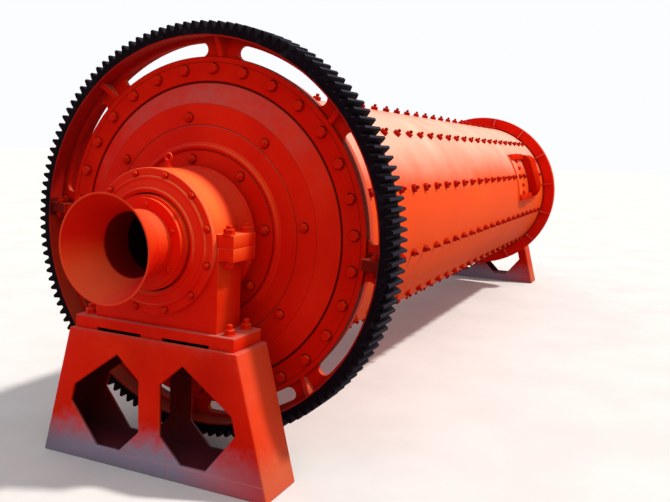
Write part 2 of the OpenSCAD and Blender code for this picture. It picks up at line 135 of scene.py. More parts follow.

# Colours of joints, grease and wear, and of painted shade and painted highlights.
# Dark turned lines on the end covers, and painted shade in the groove beside the gear ring.
DARK_LINE_AND_SHADE = (0.045, 0.003, 0.002, 1)
JOINT_DIRT = (0.03, 0.002, 0.002, 1)
# Painted shade in the slots under the sole plates.
SLOT_SHADE = (0.004, 0.001, 0.001, 1)
THROAT_SHADE = (0.20, 0.003, 0.003, 1)
# Painted highlight on the mouths' rims.
RIM_HIGHLIGHT = (0.95, 0.12, 0.035, 1)
# Painted highlight high on the bearings' front covers.
COVER_HIGHLIGHT = (0.95, 0.15, 0.060, 1)
# Dark lines at the gear's ring lip, and painted shade below its split joints.
GEAR_LINES_AND_SHADE = (0.035, 0.003, 0.002, 1)
# Grease smear toward the gear's rim, darker also as painted shade under the rim.
GREASE_AND_RIM_SHADE = (0.10, 0.008, 0.009, 1)
DRIED_GREASE = (0.014, 0.011, 0.018, 1)
# Painted highlight on the teeth's top lands.
GREASE_HIGHLIGHT = (0.026, 0.027, 0.055, 1)
# Ground dust as painted sunlight, on the pedestals' sunlit side.
SUNLIT_DUST_COPY = (0.44, 0.38, 0.20, 1)
# Painted highlight along the pedestals' foot seams.
SEAM_HIGHLIGHT = (0.62, 0.20, 0.18, 1)
# Greased bush, darkened nearly to black red as painted shade under the mouth flange.
BUSH_GREASE_AND_SHADE = (0.11, 0.0025, 0.0015, 1)

# The light comes from above and from the -Y side, in these shares.
LIGHT_UP, LIGHT_SIDE = 0.83, 0.55
SKY_WHITE = (0.97, 0.98, 1.0, 1)
SKY_LIGHT = (0.52, 0.54, 0.57, 1)
SKY_LOW = (0.30, 0.30, 0.31, 1)

# The camera, fitted to the photograph: yaw, pitch and roll in radians, focal length in pixels.
PHOTO_WIDTH = 670
SENSOR_WIDTH = 36.0
CAMERA_ANGLES = (0.4177, -0.1385, 0.0414)
CAMERA_FOCAL = 758.4
CAMERA_PLACE = (-6.4206, -2.2245, AXIS_HEIGHT + 0.4849)

turns = random.Random(7)


def length_property(label, what, value, low, high):
    return bpy.props.FloatProperty(
        name=label, description=what, default=value, min=low, max=high, unit="LENGTH")


class MillSizes(bpy.types.PropertyGroup):
    liner_rows: bpy.props.IntProperty(
        name="Liner bolt rows", description="Rows of liner bolts round the drum", default=12, min=6, max=24)
    liner_count: bpy.props.IntProperty(
        name="Bolts in a row", description="Liner bolts in one row", default=24, min=4, max=40)
    liner_pitch: length_property(
        "Liner bolt pitch", "Distance between two liner bolts of a row", 0.2434, 0.1, 0.5)
    liner_first: length_property(
        "First liner bolt", "Place of the first bolt of a row along the axis", -2.875, -3.0, 0.0)
    liner_nut: length_property(
        "Liner nut", "Width of a liner nut across its flats", 0.044, 0.02, 0.08)
    flange_nut: length_property(
        "Flange bolt head", "Width of a flange bolt head across its flats", 0.046, 0.02, 0.08)
    cover_nut: length_property(
        "Cover bolt head", "Width of a cover bolt head across its flats", 0.041, 0.02, 0.08)
    bearing_nut: length_property(
        "Bearing nut", "Width of a nut on the bearing across its flats", 0.046, 0.02, 0.08)
    casting_edge: length_property(
        "Casting edge", "Rounding of the edges of the castings", 0.007, 0.001, 0.02)


def colour_property(label, what, value):
    return bpy.props.FloatVectorProperty(
        name=label, description=what, subtype="COLOR", size=4, default=(*value, 1), min=0, max=1)


class MillColours(bpy.types.PropertyGroup):
    drum: colour_property("Drum enamel", "Orange-red enamel of the drum", (0.85, 0.075, 0.009))
    drum_deep: colour_property("Deep drum enamel", "Drum enamel where it lies thick", (0.70, 0.050, 0.005))
    drum_faded: colour_property("Faded drum enamel", "Drum enamel where it wears thin", (0.88, 0.105, 0.016))
    # Paler drum enamel: painted sunlight and highlight where the drum faces the key lamp.
    drum_bleached: colour_property("Bleached drum", "Drum enamel under the sky", (0.94, 0.56, 0.42))
    red: colour_property("Casting enamel", "Deep red enamel of the castings", (0.74, 0.006, 0.001))
    red_deep: colour_property("Deep casting enamel", "Red enamel where it lies thick", (0.46, 0.002, 0.0004))
    red_faded: colour_property("Faded casting enamel", "Red enamel where it wears thin", (0.84, 0.024, 0.004))
    # Paler castings enamel: painted sunlight where the castings face the key lamp.
    red_bleached: colour_property("Bleached castings", "Red enamel under the sky", (0.95, 0.19, 0.035))
    dust: colour_property("Dust", "Dust that settles on ledges", (0.38, 0.13, 0.12))
    # Dust from the ground, tinted blue as painted shade; the pedestals' sunlit side gets a warm lit copy.
    ground_dust: colour_property("Ground dust", "Dust that splashes up from the ground", (0.25, 0.24, 0.33))
    grease: colour_property("Gear black", "Greased black of the teeth", (0.0025, 0.0020, 0.0050))
    # Bare iron inside the drum, the bores and the throats, darkened nearly to black as painted shade.
    bare_iron_in_shade: colour_property("Inner grime", "Bare dark iron inside the hollows", (0.010, 0.0015, 0.0015))
    # Inside of the pedestals, darkened as painted shade, with dust at its floor.
    hollow: colour_property("Pedestal hollow", "Unpainted inside of the pedestals", (0.062, 0.0030, 0.0030))
    hollow_dust: colour_property("Hollow dust", "Dust on the floor of the hollows", (0.22, 0.045, 0.09))
    tip: colour_property("Stud tip", "Browned ends of the studs", (0.26, 0.006, 0.003))
    sheen: colour_property("Sheen", "Tint of the enamel's own gleam", (1.0, 0.40, 0.22))
    floor: colour_property("Floor", "Pale floor", (0.74, 0.72, 0.70))
    bounce: colour_property("Floor's bounce", "Light that the floor throws back", (0.41, 0.34, 0.28))


def mode(word):
    bpy.ops.object.mode_set(mode=word)


def deselect():
    if bpy.context.mode != "OBJECT":
        mode("OBJECT")
    bpy.ops.object.select_all(action="DESELECT")


def only(piece):
    deselect()
    piece.select_set(True)
    bpy.context.view_layer.objects.active = piece


def pick_faces(piece, wanted):
    """Goes into edit mode with just the faces that wanted(centre, normal) names."""
    only(piece)
    mode("EDIT")
    bpy.ops.mesh.select_mode(type="FACE")
    bpy.ops.mesh.select_all(action="DESELECT")
    mode("OBJECT")
    for face in piece.data.polygons:
        face.select = wanted(face.center, face.normal)
    mode("EDIT")


def apply_place(piece):
    only(piece)
    bpy.ops.object.transform_apply(location=True, rotation=True, scale=True)
    return piece


def join(pieces, name):
    deselect()
    for piece in pieces:
        piece.select_set(True)
    bpy.context.view_layer.objects.active = pieces[0]
    bpy.ops.object.join()
    piece = bpy.context.view_layer.objects.active
    piece.name = name
    piece.data.name = name
    return piece


def post(sides, radius, low, high, bevel, name, finish):
    """A bevelled prism on the z axis, open at its foot, in one finish."""
    deselect()
    bpy.ops.mesh.primitive_cylinder_add(
        vertices=sides, radius=radius, depth=high - low,
        end_fill_type="NGON", location=(0, 0, (high + low) / 2))
    piece = apply_place(bpy.context.active_object)
    piece.name = name
    if bevel:
        pick_faces(piece, lambda centre, normal: normal.z > 0.9)
        bpy.ops.mesh.bevel(offset=bevel, segments=1, affect="EDGES")
        mode("OBJECT")
    pick_faces(piece, lambda centre, normal: normal.z < -0.9)
    bpy.ops.mesh.delete(type="FACE")
    mode("OBJECT")
    piece.data.materials.append(material(finish))
    return piece


def fastener(name, flats, nut_height, stud=None, washer=None, fine=True,
             finish="enamel_bolts", under="enamel_washers", tip=None):
    """A nut or bolt head on the z axis, with its washer and its stud's end."""
    foot = washer[1] if washer else 0.0
    corner = flats / math.sqrt(3)
    parts = [post(6, corner, foot, foot + nut_height, flats * 0.07, name, finish)]
    if washer:
        sides, edge = (20, 0.0012) if fine else (12, 0)
        parts.append(post(sides, washer[0], 0.0, washer[1], edge, name, under))
    if stud:
        low, high = foot + nut_height - 0.002, foot + nut_height + stud[1]
        parts.append(post(14 if fine else 8, stud[0], low, high, stud[0] * 0.18, name, tip or finish))
    return join(parts, name)


def place_on(point, outward, turn=0.0, along=(1.0, 0.0, 0.0)):
    """The matrix that stands a piece's z axis on a point, with its x axis along a line."""
    z = Vector(outward).normalized()
    x = Vector(along)
    x = x - z * z.dot(x)
    if x.length < 1e-6:
        x = Vector((0, 0, 1)) - z * z.z
    x.normalize()
    place = Matrix((x, z.cross(x), z)).transposed().to_4x4()
    place.translation = Vector(point)
    return place @ Matrix.Rotation(turn, 4, "Z")


def spread(template, places, name, body):
    """Copies a template to every place, as one piece that rides on a body."""
    copies = []
    for place in places:
        copy = template.copy()
        copy.data = template.data.copy()
        copy.data.transform(place)
        bpy.context.collection.objects.link(copy)
        copies.append(copy)
    bpy.data.objects.remove(template)
    finish_piece(join(copies, name), body)


def finish_piece(piece, body, angle=35):
    only(piece)
    bpy.ops.object.shade_smooth_by_angle(angle=math.radians(angle))
    piece.select_set(False)
    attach(piece, body)


def outward_at(degrees):
    """The direction away from the axis at an angle round it."""
    a = math.radians(degrees)
    return Vector((0, math.cos(a), math.sin(a)))


def on_end(side, degrees, radius, s):
    """A point of an end face: its angle round the axis, its radius and its s."""
    a = math.radians(degrees)
    return (side * (HALF_LENGTH + s), radius * math.cos(a), AXIS_HEIGHT + radius * math.sin(a))


def ring_places(side, first, count, radius, s):
    """Places round an end face, looking outward along the axis."""
    places = []
    for i in range(count):
        point = on_end(side, first + i * 360 / count, radius, s)
        places.append(place_on(point, (side, 0, 0), turns.uniform(0, math.pi / 3), (0, 0, 1)))
    return places


def socket(group, name, kind, way, default=None, low=None, high=None):
    made = group.interface.new_socket(name=name, in_out=way, socket_type=kind)
    if default is not None:
        made.default_value = default
    if low is not None:
        made.min_value, made.max_value = low, high


class Nodes:
    """A short hand for building a node tree from left to right."""

    def __init__(self, tree):
        self.tree = tree
        self.count = 0

    def add(self, kind, inputs=None, **settings):
        node = self.tree.nodes.new(kind)
        node.location = (200 * (self.count % 8) - 900, -260 * (self.count // 8))
        self.count += 1
        for key, value in settings.items():
            setattr(node, key, value)
        for key, value in (inputs or {}).items():
            self.feed(node.inputs[key], value)
        return node

    def feed(self, target, value):
        if isinstance(value, bpy.types.NodeSocket):
            self.tree.links.new(value, target)
        else:
            target.default_value = value

    def math(self, operation, a, b=0.0, clamp=False):
        node = self.add("ShaderNodeMath", {0: a, 1: b}, operation=operation, use_clamp=clamp)
        return node.outputs[0]

    def times(self, a, b):
        return self.math("MULTIPLY", a, b)

    def plus(self, a, b, clamp=False):
        return self.math("ADD", a, b, clamp)

    def minus(self, a, b, clamp=False):
        return self.math("SUBTRACT", a, b, clamp)

    def absolute(self, a):
        return self.math("ABSOLUTE", a)

    def mix(self, factor, a, b):
        node = self.add("ShaderNodeMix", {0: factor, 6: a, 7: b}, data_type="RGBA")
        return node.outputs[2]

    def mix_value(self, factor, a, b):
        node = self.add("ShaderNodeMix", {0: factor, 2: a, 3: b}, data_type="FLOAT")
        return node.outputs[0]

    def ramp(self, value, low, high, to_low=0.0, to_high=1.0, smooth=True):
        node = self.add("ShaderNodeMapRange", {0: value, 1: low, 2: high, 3: to_low, 4: to_high},
                        interpolation_type="SMOOTHSTEP" if smooth else "LINEAR")
        return node.outputs[0]

    def noise(self, vector, scale, detail=3.0, rough=0.55):
        node = self.add("ShaderNodeTexNoise", {"Vector": vector, "Scale": scale,
                                               "Detail": detail, "Roughness": rough})
        return node.outputs[0]

    def coordinates(self):
        return self.add("ShaderNodeTexCoord").outputs

    def place(self):
        return self.coordinates()["Object"]

    def paint(self, shader, colour):
        self.feed(shader.inputs["Base Color"], colour)

    def parts(self, vector):
        return self.add("ShaderNodeSeparateXYZ", {0: vector}).outputs

    def stretched(self, vector, scale):
        return self.add("ShaderNodeMapping", {"Vector": vector, "Scale": scale}).outputs[0]

    def radius(self, place):
        """The distance from the mill's axis."""
        parts = self.parts(place)
        up = self.minus(parts[2], AXIS_HEIGHT)
        return self.math("SQRT", self.plus(self.times(parts[1], parts[1]), self.times(up, up)))


def new_group(name, inputs, outputs):
    group = bpy.data.node_groups.new(name, "ShaderNodeTree")
    for spec in inputs:
        socket(group, spec[0], spec[1], "INPUT", *spec[2:])
    for label, kind in outputs:
        socket(group, label, kind, "OUTPUT")
    nodes = Nodes(group)
    start = nodes.add("NodeGroupInput")
    end = nodes.add("NodeGroupOutput")
    return group, nodes, start.outputs, end.inputs


COLOUR, VALUE = "NodeSocketColor", "NodeSocketFloat"


def enamel_group():
    """Brushed and sprayed enamel: patches, thin runs, flecks and a fine skin."""
    group, n, given, end = new_group(
        "Enamel coat",
        [("Enamel", COLOUR, (0.8, 0.06, 0.01, 1)), ("Deep", COLOUR, (0.5, 0.02, 0.0, 1)),
         ("Faded", COLOUR, (0.9, 0.14, 0.03, 1)), ("Patches", VALUE, 0.5, 0.0, 1.0),
         ("Patch scale", VALUE, 3.0, 0.1, 60.0), ("Runs", VALUE, 0.3, 0.0, 1.0),
         ("Brushing", VALUE, 0.0, 0.0, 1.0), ("Gloss", VALUE, 0.3, 0.0, 1.0)],
        [("Color", COLOUR), ("Roughness", VALUE), ("Height", VALUE)])
    place = n.place()
    patch = n.noise(place, given["Patch scale"], 4.0, 0.6)
    patch_mask = n.times(n.ramp(patch, 0.42, 0.68), given["Patches"])
    colour = n.mix(patch_mask, given["Enamel"], given["Faded"])
    broad = n.noise(place, 0.9, 2.0, 0.5)
    deep_mask = n.times(n.ramp(broad, 0.40, 0.62), given["Patches"])
    colour = n.mix(deep_mask, colour, given["Deep"])
    run = n.ramp(n.noise(n.stretched(place, (14.0, 14.0, 0.9)), 1.0, 3.0, 0.6), 0.56, 0.74)
    colour = n.mix(n.times(run, given["Runs"]), colour, given["Deep"])
    brush = n.noise(n.stretched(place, (46.0, 1.6, 1.6)), 1.0, 4.0, 0.62)
    brush_mask = n.times(n.ramp(brush, 0.50, 0.72), given["Brushing"])
    colour = n.mix(brush_mask, colour, given["Faded"])
    fleck = n.ramp(n.noise(place, 90.0, 2.0, 0.5), 0.60, 0.74)
    colour = n.mix(n.times(fleck, 0.14), colour, given["Deep"])
    n.feed(end["Color"], colour)
    rough = n.plus(given["Gloss"], n.times(patch_mask, 0.16))
    rough = n.plus(rough, n.times(run, 0.06))
    n.feed(end["Roughness"], rough)
    skin = n.noise(place, 70.0, 2.0, 0.5)
    wave = n.noise(place, 9.0, 2.0, 0.5)
    height = n.plus(n.times(skin, 0.25), wave)
    height = n.plus(height, n.times(n.times(brush, given["Brushing"]), 0.12))
    n.feed(end["Height"], height)
    return group


def toward_light(n, y, z):
    """How far a direction or an offset leans toward the light."""
    return n.minus(n.times(z, LIGHT_UP), n.times(y, LIGHT_SIDE))


def sun_paint_group():
    """Painted sunlight: enamel made paler where it faces up and toward the key lamp, for the sunlit side and
    the sky's highlight.
    """
    group, n, given, end = new_group(
        "Sky bleach",
        [("Color", COLOUR, (0.8, 0.1, 0.0, 1)), ("Bleached", COLOUR, (0.9, 0.3, 0.1, 1)),
         ("Amount", VALUE, 0.5, 0.0, 1.0), ("From", VALUE, 0.3, -1.0, 1.0), ("To", VALUE, 1.0, -1.0, 1.5),
         ("Cloud", VALUE, 0.3, 0.0, 1.0)],
        [("Color", COLOUR), ("Mask", VALUE)])
    coord = n.coordinates()
    lean = n.parts(coord["Normal"])
    lit = toward_light(n, lean[1], lean[2])
    cloud = n.minus(n.noise(coord["Object"], 2.6, 4.0, 0.6), 0.5)
    lit = n.plus(lit, n.times(cloud, given["Cloud"]))
    mask = n.times(n.ramp(lit, given["From"], given["To"]), given["Amount"])
    n.feed(end["Color"], n.mix(mask, given["Color"], given["Bleached"]))
    n.feed(end["Mask"], mask)
    return group


def dust_group():
    """Dust that settles on what faces up, and splashes up from the ground."""
    group, n, given, end = new_group(
        "Settled dust",
        [("Color", COLOUR, (0.8, 0.1, 0.0, 1)), ("Roughness", VALUE, 0.4, 0.0, 1.0),
         ("Dust", COLOUR, (0.36, 0.2, 0.2, 1)), ("Ground dust", COLOUR, (0.3, 0.26, 0.36, 1)),
         ("On slopes", VALUE, 0.4, 0.0, 1.0), ("At the foot", VALUE, 0.0, 0.0, 1.0),
         ("Foot height", VALUE, 0.2, 0.0, 2.0)],
        [("Color", COLOUR), ("Roughness", VALUE), ("Mask", VALUE)])
    coord = n.coordinates()
    up = n.parts(coord["Normal"])[2]
    height = n.parts(coord["Object"])[2]
    cloud = n.noise(coord["Object"], 6.0, 4.0, 0.6)
    slope = n.ramp(n.plus(up, n.times(cloud, 0.5)), 0.35, 1.05)
    fine = n.noise(coord["Object"], 26.0, 5.0, 0.65)
    speck = n.ramp(fine, 0.35, 0.68, 0.62, 1.0)
    slope = n.times(n.times(slope, speck), given["On slopes"])
    colour = n.mix(slope, given["Color"], given["Dust"])
    ragged = n.plus(height, n.times(n.minus(cloud, 0.5), 0.14))
    ragged = n.plus(ragged, n.times(n.minus(fine, 0.5), 0.16))
    foot = n.minus(1.0, n.math("DIVIDE", ragged, given["Foot height"]), True)
    foot = n.times(n.ramp(foot, 0.0, 0.8), given["At the foot"])
    n.feed(end["Color"], n.mix(foot, colour, given["Ground dust"]))
    mask = n.math("MAXIMUM", slope, foot, True)
    rough = n.plus(given["Roughness"], n.times(mask, 0.45), True)
    n.feed(end["Roughness"], rough)
    n.feed(end["Mask"], mask)
    return group


def shared(n, name, build):
    """A node with a group's tree, which is built the first time."""
    return n.add("ShaderNodeGroup", node_tree=bpy.data.node_groups.get(name) or build())


def shell_of(name):
    """A new material with its Principled shader and its tree."""
    made = bpy.data.materials.new(name)
    made.use_nodes = True
    return made, Nodes(made.node_tree), made.node_tree.nodes["Principled BSDF"]


def tone(colour, factor):
    return (*[min(1.0, c * factor) for c in colour[:3]], 1.0)


def named_colour(name):
    return tuple(getattr(bpy.context.scene.mill_colours, name))


def enamel_material(name, drum=False, patches=0.4, patch_scale=3.0, runs=0.1, brushing=0.0, gloss=0.4,
                    gleam=0.22, bleach=0.6, bleach_from=0.30, bleach_to=1.05, slopes=0.3, foot=0.0,
                    foot_height=0.2, bump=0.02, shade=1.0, dust_shade=1.0, cloud=0.35, warm=0.0):
    """An enamel finish with its painted sunlight and its dust; gives the parts that others build on."""
    colours = bpy.context.scene.mill_colours
    made, n, shader = shell_of(name)
    word = "drum" if drum else "red"
    coat = shared(n, "Enamel coat", enamel_group)
    plain, faded = getattr(colours, word), getattr(colours, word + "_faded")
    for key, value in (("Enamel", tone([a + (b - a) * warm for a, b in zip(plain, faded)], shade)),
                       ("Deep", tone(getattr(colours, word + "_deep"), shade)), ("Faded", tone(faded, shade)),
                       ("Patches", patches), ("Patch scale", patch_scale), ("Runs", runs),
                       ("Brushing", brushing), ("Gloss", gloss)):
        coat.inputs[key].default_value = value
    # Painted sunlight on faces toward the key lamp.
    sky = shared(n, "Sky bleach", sun_paint_group)
    for key, value in (("Color", coat.outputs["Color"]), ("Amount", bleach), ("From", bleach_from),
                       ("To", bleach_to), ("Cloud", cloud),
                       ("Bleached", tuple(getattr(colours, word + "_bleached")))):
        n.feed(sky.inputs[key], value)
    dust = shared(n, "Settled dust", dust_group)
    for key, value in (("Color", sky.outputs["Color"]), ("Roughness", coat.outputs["Roughness"]),
                       ("Dust", tone(colours.dust, dust_shade)), ("Ground dust", named_colour("ground_dust")),
                       ("On slopes", slopes), ("At the foot", foot), ("Foot height", foot_height)):
        n.feed(dust.inputs[key], value)
    rise = n.add("ShaderNodeBump", {"Strength": bump, "Distance": 0.02, "Height": coat.outputs["Height"]})
    n.paint(shader, dust.outputs["Color"])
    n.feed(shader.inputs["Roughness"], dust.outputs["Roughness"])
    n.feed(shader.inputs["Normal"], rise.outputs[0])
    shader.inputs["Specular IOR Level"].default_value = gleam
    shader.inputs["Specular Tint"].default_value = named_colour("sheen")
    return made, n, shader, dust


def plain_enamel(name, **values):
    return enamel_material(name, **values)[0]


def hollow_enamel(name, inner, clean=0.0, **values):
    """Enamel outside, bare iron darkened as painted shade within an inner radius, and no dust within a clean
    one.
    """
    made, n, shader, dust = enamel_material(name, **values)
    bare_iron_in_shade = named_colour("bare_iron_in_shade")
    radius = n.radius(n.place())
    if clean:
        n.feed(dust.inputs["On slopes"], n.ramp(radius, clean, clean + 0.02, 0.0, values["slopes"]))
    # Bare iron within the inner radius, darkened as painted shade.
    bare = n.ramp(radius, inner + 0.003, inner - 0.001)
    n.paint(shader, n.mix(bare, dust.outputs["Color"], bare_iron_in_shade))
    n.feed(shader.inputs["Roughness"], n.mix_value(bare, dust.outputs["Roughness"], 0.8))
    return made


def off_line(n, value, middle):
    """How far a value lies from a middle."""
    return n.absolute(n.minus(value, middle))


def thin_line(n, value, middle):
    """A thin line where a value is at its middle."""
    return n.ramp(off_line(n, value, middle), 0.0034, 0.0014)


def end_material(name, **values):
    """Enamel with dark turned lines, and painted shade in the groove beside the gear ring."""
    made, n, shader, dust = enamel_material(name, **values)
    radius = n.radius(n.place())
    n.feed(dust.inputs["On slopes"], n.ramp(radius, *DUSTY_COVER, 0.08, 0.85))
    dark_lines_and_shade = None
    for middle, half, amount in DARK_RINGS:
        off = off_line(n, radius, middle)
        ring = n.times(n.ramp(off, half + 0.0025, half), amount)
        dark_lines_and_shade = ring if dark_lines_and_shade is None else n.math("MAXIMUM", dark_lines_and_shade, ring)
    n.paint(shader, n.mix(dark_lines_and_shade, dust.outputs["Color"], DARK_LINE_AND_SHADE))
    return made


def bearing_material(name, **values):
    """Enamel with more painted sunlight on the cap's front and on the base's sides, a dark joint line behind
    each front cover, and a painted highlight high on the cover and on its ridges.
    """
    made, n, shader, dust = enamel_material(name, **values)
    coord = n.coordinates()
    parts = n.parts(coord["Object"])
    lean = n.parts(coord["Normal"])
    along = n.absolute(parts[0])
    # More painted sunlight toward the cap's front, and less at its rear as painted shadow of the gear.
    sky = dust.inputs["Color"].links[0].from_node
    near, far = (HALF_LENGTH + s for s in SUNLIT_CAP)
    n.feed(sky.inputs["Amount"], n.ramp(along, near, far, 0.15, 0.85))
    # Painted sunlight starts sooner below the joint and beyond the lugs, for the sunlit strip on the base's
    # side.
    low = n.ramp(parts[2], AXIS_HEIGHT - 0.004, AXIS_HEIGHT + 0.004, 0.26, values["bleach_from"])
    wide = n.ramp(n.absolute(parts[1]), *LUG_START, values["bleach_from"], 0.26)
    n.feed(sky.inputs["From"], n.math("MINIMUM", low, wide))
    # Painted highlight high on the front cover and on its ridges that face the light.
    high = toward_light(n, parts[1], n.minus(parts[2], AXIS_HEIGHT))
    high = n.ramp(high, 0.0, 0.25, 0.0, 0.07)
    lit = toward_light(n, lean[1], lean[2])
    highlight = n.plus(high, n.ramp(lit, 0.1, 0.6, 0.0, 0.32))
    joint = HALF_LENGTH + FRONT_COVER_JOINT
    highlight = n.times(highlight, n.ramp(along, joint, joint + 0.004))
    highlighted = n.mix(highlight, dust.outputs["Color"], COVER_HIGHLIGHT)
    off = off_line(n, along, joint)
    facing_out = n.absolute(lean[0])
    line = n.times(n.ramp(off, 0.0028, 0.0012), n.ramp(facing_out, 0.6, 0.3))
    n.paint(shader, n.mix(n.times(line, 0.85), highlighted, JOINT_DIRT))
    return made


def sole_material(name, **values):
    """Enamel with painted shade in the slots under the sole plate."""
    made, n, shader, dust = enamel_material(name, **values)
    parts = n.parts(n.place())
    off_middle = off_line(n, n.absolute(parts[0]), HOUSING_PLACE)
    # Painted shade on the slots' faces.
    slot = n.ramp(parts[2], PEDESTAL_TOP + SOLE_SLOT + 0.0008, PEDESTAL_TOP + SOLE_SLOT + 0.0002)
    slot = n.times(slot, n.ramp(off_middle, SOLE_HALF - 0.0005, SOLE_HALF - 0.002))
    off_slot = off_line(n, n.absolute(parts[1]), SLOT_MIDDLE)
    slot = n.times(slot, n.ramp(off_slot, SLOT_HALF + 0.002, SLOT_HALF + 0.001))
    n.paint(shader, n.mix(slot, dust.outputs["Color"], SLOT_SHADE))
    return made


def mouth_material(name, **values):
    """Enamel with painted shade down the throat and a painted highlight on the rim, ending in bare iron
    darkened as painted shade.
    """
    bare_iron_in_shade = named_colour("bare_iron_in_shade")
    made, n, shader, dust = enamel_material(name, **values)
    place = n.place()
    depth = n.minus(n.absolute(n.parts(place)[0]), HALF_LENGTH)
    inner = n.ramp(n.radius(place), THROAT_RADIUS + 0.006, THROAT_RADIUS + 0.002)
    shaded = n.times(inner, n.ramp(depth, FLARE_START + 0.012, FLARE_START - 0.006))
    painted = n.mix(shaded, dust.outputs["Color"], THROAT_SHADE)
    # Painted highlight on the rim's face.
    rim_highlight = n.ramp(depth, RIM_FACE - 0.003, RIM_FACE - 0.001, 0.0, 0.30)
    painted = n.mix(rim_highlight, painted, RIM_HIGHLIGHT)
    # Bare iron further in, darkened as painted shade.
    bare = n.times(inner, n.ramp(depth, THROAT_PAINTED + 0.006, THROAT_PAINTED))
    n.paint(shader, n.mix(bare, painted, bare_iron_in_shade))
    n.feed(shader.inputs["Roughness"], n.mix_value(bare, dust.outputs["Roughness"], 0.85))
    return made


def gear_material(name):
    """Enamel on the web, darker toward the rim from grease and painted shade, with dark lines at the ring
    lip, painted shade below the split joints, and a black greased rim and teeth with a painted highlight
    where they face the light.
    """
    made, n, shader, dust = enamel_material(name, patches=0.35, gloss=0.5, gleam=0.07, slopes=0.35,
                                            bleach=0.4, shade=0.86)
    place = n.place()
    radius = n.radius(place)
    edge = n.plus(radius, n.times(n.minus(n.noise(place, 30.0), 0.5), 0.006))
    black = n.ramp(edge, *GEAR_BLACK)
    smear = n.noise(place, 16.0, 4.0, 0.65)
    # Grease smear toward the rim, darkened also as painted shade under the rim.
    film_and_shade = n.ramp(n.plus(radius, n.times(smear, 0.05)), *GEAR_FILM_AND_SHADE, 0.0, 0.55)
    lean = n.parts(n.coordinates()["Normal"])
    parts = n.parts(place)
    # Painted shade below the split joints, on faces that do not face up, and dark lines at the edges of the
    # ring lip.
    tilt = math.radians(SPLIT_ANGLE)
    up = n.times(n.minus(parts[2], AXIS_HEIGHT), math.cos(tilt))
    off_split = n.absolute(n.minus(up, n.times(parts[1], math.sin(tilt))))
    joint = n.times(n.ramp(off_split, *GEAR_JOINT_SHADE), n.ramp(lean[2], 0.6, 0.3))
    joint = n.times(joint, n.ramp(radius, RING_LIP[1], RING_LIP[1] + 0.01))
    lines = n.math("MAXIMUM", thin_line(n, radius, RING_LIP[0]), thin_line(n, radius, RING_LIP[1]))
    dark_lines_and_shade = n.math("MAXIMUM", n.times(joint, 0.80), n.times(lines, 0.55))
    lined = n.mix(dark_lines_and_shade, dust.outputs["Color"], GEAR_LINES_AND_SHADE)
    painted = n.mix(film_and_shade, lined, GREASE_AND_RIM_SHADE)
    grease_and_highlight = n.mix(n.ramp(smear, 0.50, 0.78), named_colour("grease"), DRIED_GREASE)
    # Painted highlight on the teeth's top lands that face the light.
    lit = toward_light(n, lean[1], lean[2])
    tip_highlight = n.times(n.ramp(radius, *GEAR_TIPS), n.ramp(lit, 0.1, 0.8, 0.0, 0.6))
    grease_and_highlight = n.mix(tip_highlight, grease_and_highlight, GREASE_HIGHLIGHT)
    n.paint(shader, n.mix(black, painted, grease_and_highlight))
    wet = n.plus(0.44, n.times(smear, 0.3))
    n.feed(shader.inputs["Roughness"], n.mix_value(black, dust.outputs["Roughness"], wet))
    return made


